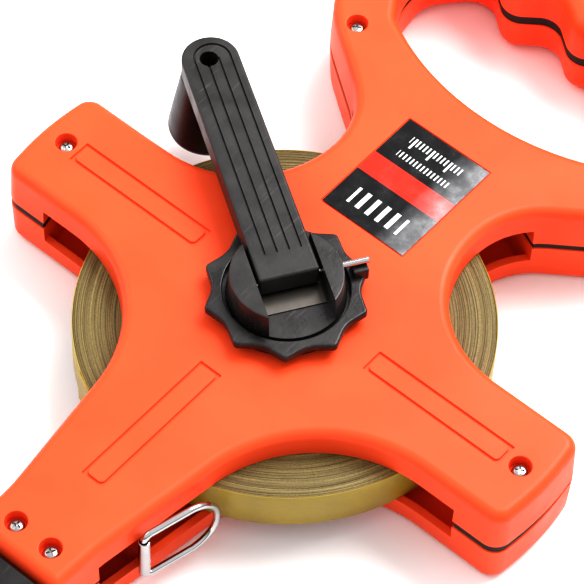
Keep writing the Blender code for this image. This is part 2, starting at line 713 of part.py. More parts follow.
def build():
    shell("front_shell", 1)
    shell("rear_shell", -1)
    gaskets()
    case_screws()
    mouth_guard()
    label()
    hub()
    post_spot = crank()
    tape_end()
    pin_place = Vector((PIN_X * math.cos(CRANK_YAW), PIN_X * math.sin(CRANK_YAW), PIN_Z)) * MM
    hang("spool_axis", (0, 0, SEAM_Z * MM), [
        "spindle", "spindle_screw", "spool_drum", "tape_roll", "crank_boss", "knob_disc",
        "detent_spring", "hinge_pin"])
    hang("crank_axis", pin_place, ["crank_arm", "grip_post", "grip_screw"])
    hang("grip_axis", Vector((*post_spot, GRIP_TOP)) * MM, ["crank_grip"])
    hang("ring_axis", Vector((RING_X, RING_Y, RING_Z)) * MM, ["end_ring"])


for old in list(bpy.data.objects):
    bpy.data.objects.remove(old)
PARTS = collection("surveyor_tape_reel")
CUTTERS = collection("cutters")
build()
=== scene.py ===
"""Looks of an open-frame surveyor's tape reel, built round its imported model.

Lengths are in millimetres and become metres when a mesh is made. The origin is on
the reel's axis in the plane of the rear face, +Z points out of the crank side, +Y
to the carrying handle and -Y to the tape's mouth.
"""

import json
import math
import random

import bmesh
import bpy
from mathutils import Matrix, Vector, noise


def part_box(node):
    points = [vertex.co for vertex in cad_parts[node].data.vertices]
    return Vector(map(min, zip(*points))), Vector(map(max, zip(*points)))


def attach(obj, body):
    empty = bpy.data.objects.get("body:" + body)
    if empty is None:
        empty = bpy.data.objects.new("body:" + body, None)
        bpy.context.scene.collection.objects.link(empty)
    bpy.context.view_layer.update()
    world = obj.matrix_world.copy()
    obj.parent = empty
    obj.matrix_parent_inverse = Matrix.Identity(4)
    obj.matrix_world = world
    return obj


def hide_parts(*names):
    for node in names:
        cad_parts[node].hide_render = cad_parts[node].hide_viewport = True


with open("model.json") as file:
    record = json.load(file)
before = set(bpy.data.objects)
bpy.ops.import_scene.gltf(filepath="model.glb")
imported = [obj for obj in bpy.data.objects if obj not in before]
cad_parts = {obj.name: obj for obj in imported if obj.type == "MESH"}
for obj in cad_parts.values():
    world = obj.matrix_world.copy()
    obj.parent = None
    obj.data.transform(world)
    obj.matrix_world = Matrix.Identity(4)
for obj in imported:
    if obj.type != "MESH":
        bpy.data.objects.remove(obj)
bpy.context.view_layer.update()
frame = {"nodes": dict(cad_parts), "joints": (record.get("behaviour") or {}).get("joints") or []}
MM = 0.001


def reach(node, axis, side):
    """A CAD node's lowest (0) or highest (1) place along an axis, in millimetres."""
    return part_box(node)[side][axis] / MM


def middle(node):
    """The centre of a CAD node's box, in millimetres."""
    low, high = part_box(node)
    return (low + high) / 2 / MM


# Frame, as the CAD shells give it.
THICKNESS = reach("front_shell", 2, 1)
SEAM_Z = THICKNESS / 2
WALL = 2.4
DRAFT = 0.5
EDGE_RADIUS = 3.5
EDGE_STEPS = 8
ARC_STEP = math.radians(6)
ARC_CHORD = 3.0
SPACING = 4.0
UNSPLIT = 500  # spacing that leaves every straight edge in one piece

# Right halves of the outlines, clockwise: (x, y, fillet radius) of each corner.
FRAME_HALF = [
    (78.5, 185.0, 34.0),
    (78.5, 110.5, 40.0),
    (31.3, 76.2, 30.0),
    (31.3, 21.5, 39.0),
    (106.3, 21.5, 6.5),
    (109.07, 0.0, 100.0),
    (106.3, -21.5, 6.5),
    (31.6, -21.5, 50.0),
    (19.2, -110.0, 60.0),
    (18.6, -129.5, 3.0),
]
FINGER_PITCH = 29.5
RIDGE_Y = 153.5
GROOVE_Y = 165.0
HOLE_HALF = [
    (0.0, RIDGE_Y, 8.0),
    (FINGER_PITCH / 2, GROOVE_Y, 8.0),
    (FINGER_PITCH, RIDGE_Y, 8.0),
    (46.0, 167.0, 9.0),
    (60.5, 150.0, 14.0),
    (59.5, 132.0, 25.0),
    (49.5, 117.0, 8.0),
    (0.0, 92.4, 99.0),
]
FRONT_FULLNESS = 3.2  # added to the edge's radius where the fingers hold
REAR_FULLNESS = 3.9
CHAMBER_RADIUS = 91.0
CHAMBER_HALF = 8.05
CHAMBER_WALL = 2.2
CHANNEL_HALF = 2.6
CHANNEL_START = -80.0
CHANNEL_Z = (9.6, 27.1)
MOUTH_END = -129.5
WINDOW_X = (11.0, 32.0)
WINDOW_Y = (-111.0, -84.0)
HUB_BORE = 11.0
HUB_BORE_Z = (25.0, 40.0)
BOSS_RADIUS = 5.2
COUNTERBORE = 3.7
COUNTERBORE_LIP = 0.45
SCREW_SEAT = 2.1  # below the top of a screw's head

# Rectangles on the front face: x low, x high, y low, y high.
PANEL_FRAMES = [(36.2, 91.7, -4.4, 4.4), (-91.7, -36.2, -4.4, 4.4), (-4.4, 4.4, -93.2, -36.6)]
PANEL_LINE_WIDTH = 1.1
PANEL_LINE_DEPTH = 0.75
LABEL = (-17.3, 17.3, 38.7, 84.7)
LABEL_GAP = 0.4
LABEL_SEAT = 36.2
LABEL_THICKNESS = 0.12

# Seam strip: heights that take it in, half its visible height, and where that changes. Its width
# follows the dark band at the seam, which is partly rubber and partly the shade in the gaps beside
# it, so the black strip partly stands in for painted shade.
SEAM_Z_RANGE = (5, 32)
BAND_REGION = 60
BAND_PLAIN = 1.0
BAND_HANDLE = 1.3
BAND_HANDLE_RISE = 1.0
BAND_HANDLE_Y = (140.0, 154.0)
BAND_HANDLE_X = (72.0, 60.0)
BAND_ARM = 0.5
BAND_ARM_RISE = 1.1
BAND_ARM_Y = (20.0, -19.0)

# Cuts in the mouth guard's flanks, which leave its ribs.
CUT_COUNT = 4
CUT_START = 2.2
CUT_PITCH = 2.6
CUT_WIDTH = 1.1
CUT_DEPTH = 0.5
CUT_Z = (8, 28.7)

# Tape, hub and crank.
ROLL_RADIUS = reach("tape_roll", 0, 1)
ROLL_BORE = 20.3
TAPE_HALF = (reach("tape_roll", 2, 1) - reach("tape_roll", 2, 0)) / 2
CRANK_YAW = math.radians(147.2)
DISC_LOW = reach("knob_disc", 2, 0)
DISC_TOP = 42.8
DISC_BORE = 20.9
CUSP_RADIUS = 27.9
HOLLOW_RADIUS = 24.0
CUSP_COUNT = 10
CUSP_ANGLE = math.radians(22.0)
FLANGE_RADIUS = 23.4
FLANGE_TOP = 39.5
FLANGE_LOW = 37.85
STEM_RADIUS = 8.5
STEM_LOW = 28.5
STEM_BORE = 5.55
SCREW_POCKET = 4.8
POCKET_TOP = 44.0
CHEEK_RADIUS = 19.5
CHEEK_TOP_RADIUS = 18.7
CHEEK_TOP = reach("crank_boss", 2, 1)
SLOT_SIDE = -0.7
SLOT_HALF = 11.3
SLOT_FLOOR = 42.0
SPRING_FLOOR = 41.8
SPRING_POCKET_HALF = 8.8
SPRING_HALF = 8.5
SPRING_DIP = 0.12
LUG_HALF = 2.5
LUG_SPAN = (-27.4, -22.0)
PIN_X = 0.6
PIN_Z = 47.3
PIN_RADIUS = 1.1
PIN_PLAY = 0.15
PIN_CORE = 0.55
PIN_STUB = 28.2
PIN_END = 16.4
ARM_START = -1.2
ARM_SIDE = -0.6
ARM_HALF = 10.2
ARM_TIP_RADIUS = 9.9
ARM_HALF_DEPTH = 4.1
ARM_POCKET_X = (9.0, 78.0)
ARM_POCKETS = [(-8.2, -1.4), (0.2, 7.0)]
ARM_POCKET_ROOF = 2.6
LINE_SIDE = -1.2
LINE_START = 8.5
LINE_HALF = 0.42
LINE_DEPTH = 0.75
LINE_OUTER = 6.15
LINE_INNER = 2.05
LINE_TIP = 6.6
GRIP_X = 92.3
GRIP_NARROW = 9.6
GRIP_HOLLOW = 7.2
GRIP_HOLLOW_TOP = 20.8
GRIP_BORE = 5.3
TIP_HOLE = 3.2

# Pull ring, in the upright plane that its yaw gives, from its bar outward.
RING_YAW = math.radians(75.5)
RING_WIRE = 1.2
RING_OUTLINE = [(0.0, -10.8, 2.5), (27.55, -10.8, 10.8), (27.55, 12.4, 10.8), (0.0, 12.4, 2.5)]

# Camera.
CAMERA_AZIMUTH = math.radians(38.4755)
CAMERA_ELEVATION = math.radians(54.2911)
CAMERA_ROLL = math.radians(2.6051)
CAMERA_PLACE = Vector((0.392919, -0.491376, 0.915848))
CAMERA_LENS = 204.85


# ---------------------------------------------------------------- mesh helpers

def smoothstep(low, high, value):
    """Rise softly from 0 at low to 1 at high; low may be the greater."""
    share = min(max((value - low) / (high - low), 0.0), 1.0)
    return share * share * (3 - 2 * share)


def place(name, body, yaw=0.0):
    """Turn a bmesh in millimetres into an object in metres."""
    bmesh.ops.recalc_face_normals(body, faces=body.faces)
    body.transform(Matrix.Rotation(yaw, 4, "Z") @ Matrix.Scale(MM, 4))
    mesh = bpy.data.meshes.new(name)
    body.to_mesh(mesh)
    body.free()
    made = bpy.data.objects.new(name, mesh)
    bpy.context.scene.collection.objects.link(made)
    return made


def mirrored(half):
    """Close a clockwise right half into a whole anticlockwise outline."""
    left = [(-x, y, radius) for x, y, radius in reversed(half) if x > 0]
    return list(reversed(half + left))


def rectangle(x_low, x_high, y_low, y_high, radius):
    return [(x_low, y_low, radius), (x_high, y_low, radius),
            (x_high, y_high, radius), (x_low, y_high, radius)]


def rounded(corners, inset=0.0, spacing=SPACING, step=ARC_STEP, chord=ARC_CHORD):
    """Points of an outline with filleted corners, moved inward by inset."""
    count = len(corners)
    spots = [Vector((x, y)) for x, y, _ in corners]
    ways = [(spots[(i + 1) % count] - spots[i]).normalized() for i in range(count)]
    arcs, lengths = [], []
    for i, (_, _, radius) in enumerate(corners):
        before, after = ways[i - 1], ways[i]
        turn = before.angle_signed(after) * -1.0
        inward = Vector((-before.y - after.y, before.x + after.x)).normalized()
        corner = spots[i] + inward * inset / math.cos(turn / 2)
        fillet = max(radius - inset * math.copysign(1.0, turn), 0.2)
        centre = corner + inward * math.copysign(fillet, turn) / math.cos(turn / 2)
        steps = max(3, round(abs(turn) / step), round(abs(turn) * radius / chord))
        arc = []
        for k in range(steps + 1):
            swing = -turn / 2 + turn * k / steps
            spoke = -inward * math.copysign(fillet, turn)
            arc.append(centre + Vector((
                spoke.x * math.cos(swing) - spoke.y * math.sin(swing),
                spoke.x * math.sin(swing) + spoke.y * math.cos(swing))))
        arcs.append(arc)
        cut = radius * math.tan(abs(turn) / 2)
        cut_next = tangent_length(corners, ways, (i + 1) % count)
        lengths.append((spots[(i + 1) % count] - spots[i]).length - cut - cut_next)
    points = []
    for i, arc in enumerate(arcs):
        points += arc
        splits = max(1, math.ceil(lengths[i] / spacing))
        ahead = arcs[(i + 1) % count][0]
        points += [arc[-1].lerp(ahead, k / splits) for k in range(1, splits)]
    return points


def tangent_length(corners, ways, i):
    """How much of an edge a corner's fillet takes."""
    return corners[i][2] * math.tan(abs(ways[i - 1].angle_signed(ways[i])) / 2)


def value_at(rule, point):
    """A rule's value at a point, where the rule is a function or a number."""
    return rule(point) if callable(rule) else rule


def loft(name, corners, levels, yaw=0.0, **fine):
    """A solid whose sections are one outline at several heights and insets.

    A height may be a function of the outline's point, and an inset may be too.
    """
    base = rounded(corners, 0.0, **fine)
    unit = rounded(corners, 0.1, **fine)
    body = bmesh.new()
    rings = []
    for height, inset in levels:
        if callable(inset):
            flat = [b + (u - b) * 10 * inset(b) for b, u in zip(base, unit)]
        else:
            flat = rounded(corners, inset, **fine)
        rings.append([body.verts.new((p.x, p.y, value_at(height, b)))
                      for p, b in zip(flat, base)])
    for low, high in zip(rings, rings[1:]):
        for i in range(len(low)):
            body.faces.new((low[i - 1], low[i], high[i], high[i - 1]))
    body.faces.new(rings[0])
    body.faces.new(rings[-1])
    return place(name, body, yaw)


def box(name, low, high, yaw=0.0):
    body = bmesh.new()
    bmesh.ops.create_cube(body, size=1.0)
    bmesh.ops.scale(body, vec=[b - a for a, b in zip(low, high)], verts=body.verts)
    bmesh.ops.translate(body, vec=[(a + b) / 2 for a, b in zip(low, high)], verts=body.verts)
    return place(name, body, yaw)


def cylinder(name, spot, radius, low, high, sides=48):
    body = bmesh.new()
    bmesh.ops.create_cone(body, cap_ends=True, segments=sides, radius1=radius,
                          radius2=radius, depth=high - low)
    bmesh.ops.translate(body, vec=(spot[0], spot[1], (low + high) / 2), verts=body.verts)
    return place(name, body)


def lathe(name, profile, sides, spot=(0.0, 0.0), closed=False, lift=None):
    """Turn a (radius, height) profile about an upright axis through spot.

    lift, where given, raises each point by a function of its radius and angle.
    """
    body = bmesh.new()
    rings = []
    for radius, height in profile:
        if radius == 0.0:
            rings.append([body.verts.new((spot[0], spot[1], height))])
            continue
        ring = []
        for k in range(sides):
            angle = math.tau * k / sides
            raised = height + (lift(radius, angle, height) if lift else 0.0)
            ring.append(body.verts.new((spot[0] + radius * math.cos(angle),
                                        spot[1] + radius * math.sin(angle), raised)))
        rings.append(ring)
    pairs = list(zip(rings, rings[1:]))
    if closed:
        pairs.append((rings[-1], rings[0]))
    for first, second in pairs:
        for k in range(sides):
            after = (k + 1) % sides
            if len(first) == 1:
                body.faces.new((first[0], second[k], second[after]))
            elif len(second) == 1:
                body.faces.new((first[k], second[0], first[after]))
            else:
                body.faces.new((first[k], second[k], second[after], first[after]))
    return place(name, body)


def cross_rod(name, x, z, radius, y_from, y_to, sides=32, edge=0.25):
    """A rod with softened ends along the crank's local Y."""
    body = bmesh.new()
    rings = []
    for y, size in ((y_from, radius - edge), (y_from + edge, radius),
                    (y_to - edge, radius), (y_to, radius - edge)):
        rings.append([body.verts.new((x + size * math.cos(math.tau * k / sides), y,
                                      z + size * math.sin(math.tau * k / sides)))
                      for k in range(sides)])
    for first, second in zip(rings, rings[1:]):
        for k in range(sides):
            body.faces.new((first[k - 1], first[k], second[k], second[k - 1]))
    body.faces.new(rings[0])
    body.faces.new(rings[-1])
    return place(name, body, CRANK_YAW)


def wire_loop(name, points, radius, sides=20):
    """A closed loop of round wire, with its sections square to the path."""
    body = bmesh.new()
    count = len(points)
    rings = []
    for i, point in enumerate(points):
        along = (points[(i + 1) % count] - points[i - 1]).normalized()
        across = along.cross(Vector((0.3, 0.9, 0.1))).normalized()
        over = along.cross(across)
        rings.append([body.verts.new(point + across * radius * math.cos(math.tau * k / sides)
                                     + over * radius * math.sin(math.tau * k / sides))
                      for k in range(sides)])
    for first, second in zip(rings, rings[1:] + rings[:1]):
        for k in range(sides):
            body.faces.new((first[k - 1], first[k], second[k], second[k - 1]))
    return place(name, body)


def combine(target, tool, operation="DIFFERENCE"):
    """Cut, join or intersect two objects, and drop the tool."""
    step = target.modifiers.new(operation.lower(), "BOOLEAN")
    step.operation = operation
    step.solver = "EXACT"
    step.object = tool
    bake(target)
    bpy.data.objects.remove(tool)
    return target


def bake(made):
    """Apply an object's modifiers to its mesh."""
    depsgraph = bpy.context.evaluated_depsgraph_get()
    mesh = bpy.data.meshes.new_from_object(made.evaluated_get(depsgraph))
    made.modifiers.clear()
    made.data = mesh
    return made


def soften(made, width, segments=3, angle=35.0):
    """Round an object's hard edges."""
    step = made.modifiers.new("edges", "BEVEL")
    step.width = width * MM
    step.segments = segments
    step.limit_method = "ANGLE"
    step.angle_limit = math.radians(angle)
    return bake(made)


def smooth(made, angle=35.0, weighted=True):
    """Shade smooth, with big flat faces kept flat."""
    made.data.shade_smooth()
    made.data.set_sharp_from_angle(angle=math.radians(angle))
    if weighted:
        step = made.modifiers.new("normals", "WEIGHTED_NORMAL")
        step.keep_sharp = True
        step.weight = 80
    return made


def dress(made, body, slot, material, *nodes):
    """Give a piece its material, its body and the CAD nodes that it stands for."""
    made.data.materials.clear()
    made.data.materials.append(material)
    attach(made, body)
    if nodes:
        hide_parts(*nodes)
    return made


# ------------------------------------------------------------------- materials

class Look:
    """A node material built up step by step on one Principled shader."""

    def __init__(self, name, colour, roughness, metallic=0.0, **sockets):
        self.material = bpy.data.materials.new(name)
        self.material.use_nodes = True
        self.nodes = self.material.node_tree.nodes
        self.links = self.material.node_tree.links
        self.shader = self.nodes["Principled BSDF"]
        self.set("Base Color", (*colour, 1.0))
        self.set("Roughness", roughness)
        self.set("Metallic", metallic)
        for socket, value in sockets.items():
            self.set(socket.replace("_", " "), value)
        self.place = self.nodes.new("ShaderNodeTexCoord").outputs["Object"]
        self.normal = None

    def set(self, socket, value):
        """Set one of the shader's inputs to a plain value."""
        self.shader.inputs[socket].default_value = value

    def link(self, source, target):
        self.links.new(source, target)

    def mapped(self, scale, turn=0.0):
        """Object coordinates, turned about Z and stretched along the axes."""
        node = self.nodes.new("ShaderNodeMapping")
        node.inputs["Scale"].default_value = scale
        node.inputs["Rotation"].default_value = (0.0, 0.0, turn)
        self.link(self.place, node.inputs["Vector"])
        return node.outputs["Vector"]

    def noise(self, size, detail=3.0, source=None, rough=0.5):
        """Noise with features of about this size, in millimetres."""
        node = self.nodes.new("ShaderNodeTexNoise")
        node.inputs["Scale"].default_value = 1.0 / (size * MM)
        node.inputs["Detail"].default_value = detail
        node.inputs["Roughness"].default_value = rough
        self.link(source or self.place, node.inputs["Vector"])
        return node.outputs["Fac"]

    def ramp(self, source, *stops):
        """Map a value through (place, colour) stops."""
        node = self.nodes.new("ShaderNodeValToRGB")
        bar = node.color_ramp
        while len(bar.elements) < len(stops):
            bar.elements.new(0.5)
        for element, (spot, colour) in zip(bar.elements, stops):
            element.position = spot
            element.color = (*colour, 1.0) if len(colour) == 3 else colour
        self.link(source, node.inputs["Fac"])
        return node.outputs["Color"]

    def grey(self, source, *stops):
        """Map a value through (place, level) stops."""
        return self.ramp(source, *[(spot, (level,) * 3) for spot, level in stops])

    def math(self, operation, first, second=None, clamp=False):
        """One step of arithmetic; each term may be a socket or a number."""
        node = self.nodes.new("ShaderNodeMath")
        node.operation = operation
        node.use_clamp = clamp
        for slot, value in enumerate((first, second)):
            if isinstance(value, (int, float)):
                node.inputs[slot].default_value = value
            elif value is not None:
                self.link(value, node.inputs[slot])
        return node.outputs["Value"]

    def mix(self, share, first, second, blend="MIX"):
        """Mix two colours; each may be a socket or a colour."""
        node = self.nodes.new("ShaderNodeMix")
        node.data_type = "RGBA"
        node.blend_type = blend
        sockets = [s for s in node.inputs if s.type == "RGBA"]
        for socket, value in zip(sockets, (first, second)):
            if isinstance(value, tuple):
                socket.default_value = (*value, 1.0)
            else:
                self.link(value, socket)
        if isinstance(share, (int, float)):
            node.inputs["Factor"].default_value = share
        else:
            self.link(share, node.inputs["Factor"])
        return [s for s in node.outputs if s.type == "RGBA"][0]

    def colour(self, source):
        self.link(source, self.shader.inputs["Base Color"])

    def roughness(self, source):
        self.link(source, self.shader.inputs["Roughness"])

    def bump(self, source, depth, strength=1.0):
        """Add relief of this depth in millimetres."""
        node = self.nodes.new("ShaderNodeBump")
        node.inputs["Strength"].default_value = strength
        node.inputs["Distance"].default_value = depth * MM
        self.link(source, node.inputs["Height"])
        if self.normal is not None:
            self.link(self.normal, node.inputs["Normal"])
        self.normal = node.outputs["Normal"]
        self.link(self.normal, self.shader.inputs["Normal"])

    def axes(self):
        """The object coordinates' three parts, in metres."""
        node = self.nodes.new("ShaderNodeSeparateXYZ")
        self.link(self.place, node.inputs["Vector"])
        return node.outputs["X"], node.outputs["Y"], node.outputs["Z"]


def orange_look():
    """Satin moulded plastic in a fluorescent orange."""
    look = Look("orange_moulding", (0.90, 0.09, 0.026), 0.40, Specular_IOR_Level=0.20)
    patch = look.noise(38.0, 3.0)
    tone = look.ramp(patch, (0.35, (0.89, 0.084, 0.025)), (0.65, (0.93, 0.098, 0.031)))
    specks = look.grey(look.noise(0.9, 2.0), (0.70, 0.0), (0.78, 1.0))
    look.colour(look.mix(look.math("MULTIPLY", specks, 0.10), tone, (0.96, 0.18, 0.08)))
    rub = look.noise(14.0, 5.0)
    look.roughness(look.grey(rub, (0.3, 0.34), (0.7, 0.48)))
    look.bump(look.noise(0.35, 2.0), 0.012)
    look.bump(look.noise(22.0, 2.0), 0.10, 0.5)
    return look.material


def black_look(name, level=0.010, gloss=0.33, wear=0.5):
    """Moulded black plastic with fine grain, dust specks and rubbed streaks."""
    look = Look(name, (level, level * 0.94, level * 0.92), gloss, Specular_IOR_Level=0.36)
    cloud = look.noise(9.0, 5.0)
    tone = look.ramp(cloud, (0.35, (level * 0.85, level * 0.76, level * 0.74)),
                     (0.7, (level * 1.6, level * 1.46, level * 1.43)))
    dust = look.grey(look.noise(0.55, 3.0, rough=0.7), (0.70 - 0.05 * wear, 0.0), (0.80, 1.0))
    tone = look.mix(look.math("MULTIPLY", dust, 0.45 * wear), tone, (0.24, 0.22, 0.21))
    streaks = look.noise(1.1, 4.0, look.mapped((1.0, 0.08, 1.0), turn=0.6))
    scuff = look.grey(streaks, (0.64 - 0.03 * wear, 0.0), (0.78, 1.0))
    look.colour(look.mix(look.math("MULTIPLY", scuff, 0.35 * wear), tone, (0.20, 0.18, 0.17)))
    look.roughness(look.grey(cloud, (0.3, gloss - 0.07), (0.72, gloss + 0.14)))
    look.bump(look.noise(0.45, 3.0), 0.03)
    look.bump(look.noise(1.6, 3.0), 0.05 * wear)
    look.bump(look.noise(7.0, 2.0), 0.08, 0.6)
    return look.material


def rubber_look():
    """Dull black seal."""
    look = Look("seam_rubber", (0.016, 0.010, 0.010), 0.62, Specular_IOR_Level=0.35)
    cloud = look.noise(5.0, 4.0)
    look.colour(look.ramp(cloud, (0.3, (0.012, 0.008, 0.008)), (0.75, (0.026, 0.018, 0.017))))
    look.roughness(look.grey(cloud, (0.3, 0.55), (0.7, 0.75)))
    look.bump(look.noise(0.4, 3.0), 0.03)
    return look.material


def metal_look(name, colour, gloss, scratch=0.06, stretch=(1.0, 1.0, 1.0)):
    """Plated or turned metal with hairline marks."""
    look = Look(name, colour, gloss, 1.0)
    lines = look.noise(0.5, 4.0, look.mapped(stretch))
    look.roughness(look.grey(lines, (0.3, gloss), (0.75, gloss + scratch)))
    tint = look.noise(3.0, 3.0)
    look.colour(look.ramp(tint, (0.3, tuple(c * 0.92 for c in colour)), (0.7, colour)))
    look.bump(lines, 0.004)
    return look.material


def nylon_look():
    """Undyed nylon of the bushes and the washer."""
    look = Look("natural_nylon", (0.72, 0.69, 0.6), 0.5)
    cloud = look.noise(4.0, 3.0)
    look.colour(look.ramp(cloud, (0.3, (0.66, 0.63, 0.54)), (0.7, (0.76, 0.73, 0.65))))
    look.bump(look.noise(0.3, 2.0), 0.01)
    return look.material


def winding_look():
    """Edges of wound tape: fine rings whose tone drifts slowly round the roll."""
    look = Look("wound_tape_edges", (0.27, 0.21, 0.09), 0.55, Specular_IOR_Level=0.35)
    x, y, _ = look.axes()
    radius = look.math("SQRT", look.math("ADD", look.math("MULTIPLY", x, x),
                                         look.math("MULTIPLY", y, y)))
    joined = look.nodes.new("ShaderNodeCombineXYZ")
    look.link(radius, joined.inputs["X"])
    drift = 0.009
    look.link(look.math("MULTIPLY", x, drift), joined.inputs["Y"])
    look.link(look.math("MULTIPLY", y, drift), joined.inputs["Z"])
    fine = look.noise(0.40, 3.0, joined.outputs["Vector"])
    coarse = look.noise(2.4, 3.0, joined.outputs["Vector"])
    grain = look.noise(0.42, 4.0, rough=0.8)
    rings = look.ramp(fine, (0.30, (0.11, 0.080, 0.026)), (0.46, (0.19, 0.142, 0.050)),
                      (0.60, (0.25, 0.195, 0.076)), (0.76, (0.33, 0.275, 0.125)))
    bands = look.grey(coarse, (0.34, 0.68), (0.52, 0.92), (0.75, 1.04))
    tone = look.mix(1.0, rings, bands, "MULTIPLY")
    crumbs = look.grey(grain, (0.38, 0.50), (0.62, 1.25))
    look.colour(look.mix(0.8, tone, crumbs, "MULTIPLY"))
    look.bump(fine, 0.07)
    look.bump(grain, 0.07)
    return look.material


def tape_face_look():
    """Outer face of the tape: satin yellow coating over woven glass fibre."""
    look = Look("tape_face", (0.48, 0.36, 0.05), 0.38, Specular_IOR_Level=0.5)
    cloud = look.noise(16.0, 3.0)
    tone = look.ramp(cloud, (0.3, (0.31, 0.215, 0.028)), (0.7, (0.39, 0.275, 0.036)))
    thread = look.noise(0.8, 2.0, look.mapped((0.35, 0.35, 1.0)))
    look.colour(look.mix(0.25, tone, look.grey(thread, (0.3, 0.75), (0.7, 1.1)), "MULTIPLY"))
    look.roughness(look.grey(cloud, (0.3, 0.32), (0.7, 0.46)))
    look.bump(thread, 0.02)
    return look.material


def label_look():
    """Printed sticker: black fields, an orange-red band and plain tick marks."""
    foot = LABEL[2] * MM
    look = Look("label_print", (0.012, 0.012, 0.013), 0.24, Specular_IOR_Level=0.22)
    x, y, _ = look.axes()

    def between(source, low, high):
        """1 between two places along an axis, 0 elsewhere."""
        above = look.math("GREATER_THAN", source, low)
        return look.math("MULTIPLY", above, look.math("LESS_THAN", source, high))

    band = between(y, foot + 18.4 * MM, foot + 27.6 * MM)
    ink = look.mix(band, (0.010, 0.010, 0.011), (0.72, 0.030, 0.016))
    marks = None
    for pitch, low, high, width in ((1.5, 38.0, 41.0, 0.6), (7.5, 36.0, 41.0, 0.8),
                                    (1.5, 31.0, 33.6, 0.6), (4.2, 5.0, 12.5, 1.7)):
        phase = look.math("FRACT", look.math("DIVIDE", look.math("ADD", x, 0.1), pitch * MM))
        line = look.math("LESS_THAN", phase, width / pitch)
        row = between(y, foot + low * MM, foot + high * MM)
        mark = look.math("MULTIPLY", look.math("MULTIPLY", line, row),
                         between(x, -11.2 * MM, 10.3 * MM))
        marks = mark if marks is None else look.math("MAXIMUM", marks, mark)
    ink = look.mix(marks, ink, (0.80, 0.80, 0.80))
    # Pale smears whiten the print, more towards the right: partly scratched print, partly a painted
    # highlight of glare.
    haze = look.grey(look.noise(6.0, 6.0, rough=0.65), (0.42, 0.0), (0.72, 1.0))
    edge = look.math("DIVIDE", look.math("SUBTRACT", x, 5.0 * MM), 14.0 * MM, clamp=True)
    scratches_and_glare = look.math("MULTIPLY", look.math("ADD", look.math("MULTIPLY", haze, 0.5), 0.35), edge)
    look.colour(look.mix(scratches_and_glare, ink, (0.50, 0.50, 0.51)))
    look.roughness(look.grey(haze, (0.0, 0.16), (1.0, 0.34)))
    look.bump(look.noise(7.0, 3.0), 0.25, 0.5)
    look.bump(look.noise(0.8, 3.0), 0.02)
    return look.material


def floor_look():
    """Even pale sheet under the reel."""
    look = Look("pale_floor", (0.93, 0.93, 0.935), 0.65, Specular_IOR_Level=0.2)
    cloud = look.noise(120.0, 3.0)
    look.colour(look.ramp(cloud, (0.3, (0.915, 0.915, 0.92)), (0.7, (0.94, 0.94, 0.945))))
    return look.material


# ---------------------------------------------------------------------- shells

def band_half(point):
    """Half the visible height of the seam's black strip at a point of an outline.

    It widens towards the middle of the handle's top and down the arms' ends; there the black is
    partly rubber and partly stands in for the shade in the gaps beside it.
    """
    if point.y > BAND_REGION:
        over = smoothstep(*BAND_HANDLE_Y, point.y) * smoothstep(*BAND_HANDLE_X, abs(point.x))
        return BAND_HANDLE + BAND_HANDLE_RISE * over
    if abs(point.x) > BAND_REGION:
        return BAND_ARM + BAND_ARM_RISE * smoothstep(*BAND_ARM_Y, point.y)
    return BAND_PLAIN


def seam_height(side, extra):
    """Where a shell's wall stands off the seam's middle, as a function of the outline."""
    return lambda point: SEAM_Z + side * (band_half(point) + extra)


def wall_levels(side):
    """Heights and insets of a shell: its seam edge, drafted wall and rounded rim."""
    levels = [(seam_height(side, 0.0), 0.3), (seam_height(side, 0.12), 0.08),
              (seam_height(side, 0.35), 0.0)]
    shoulder = SEAM_Z - EDGE_RADIUS
    for k in range(EDGE_STEPS + 1):
        angle = math.pi / 2 * k / EDGE_STEPS
        height = shoulder + EDGE_RADIUS * math.sin(angle)
        inset = DRAFT + EDGE_RADIUS * (1 - math.cos(angle))
        levels.append((SEAM_Z + side * height, inset))
    return levels


def hole_levels(side):
    """The finger hole's wall, which rolls over into the face; fuller at the grip."""
    fullness = FRONT_FULLNESS if side > 0 else REAR_FULLNESS

    def radius(point):
        return EDGE_RADIUS + fullness * smoothstep(128.0, 150.0, point.y)

    def height(angle):
        return lambda point: SEAM_Z + side * (
            SEAM_Z - radius(point) * (1 - math.sin(angle)))

    def inset(angle):
        return lambda point: -DRAFT - radius(point) * (1 - math.cos(angle))

    levels = [(SEAM_Z - side * 2.0, -0.3), (seam_height(side, 0.0), -0.3),
              (seam_height(side, 0.12), -0.08), (seam_height(side, 0.35), 0.0)]
    for k in range(EDGE_STEPS + 1):
        angle = math.pi / 2 * k / EDGE_STEPS
        levels.append((height(angle), inset(angle)))
    levels.append((SEAM_Z + side * (SEAM_Z + 2.0), inset(math.pi / 2)))
    return levels


def pocket(side):
    """The hollow of one shell, with its inner walls and screw bosses left standing."""
    low, high = SEAM_Z - side, SEAM_Z + side * (SEAM_Z - WALL)
    inset = WALL + DRAFT
    body = loft(f"pocket_{side}", mirrored(FRAME_HALF), [(low, inset), (high, inset)])
    below, above = sorted((SEAM_Z - side * 3.0, SEAM_Z + side * (SEAM_Z + 2.0)))
    wall = cylinder("chamber_wall", (0, 0), CHAMBER_RADIUS + CHAMBER_WALL, below, above, 128)
    combine(wall, cylinder("chamber_bore", (0, 0), CHAMBER_RADIUS, below - 1, above + 1, 128))
    combine(body, wall)
    combine(body, loft("hole_wall", mirrored(HOLE_HALF), [(below, -inset), (above, -inset)]))
    for spot in screw_spots():
        combine(body, cylinder("screw_boss", spot, BOSS_RADIUS, below, above, 24))
    return body


def screw_spots():
    """Places of the eight case screws, from the CAD."""
    spots = [middle(f"case_screw_{i}") for i in range(1, 9)]
    return [(spot.x, spot.y) for spot in spots]


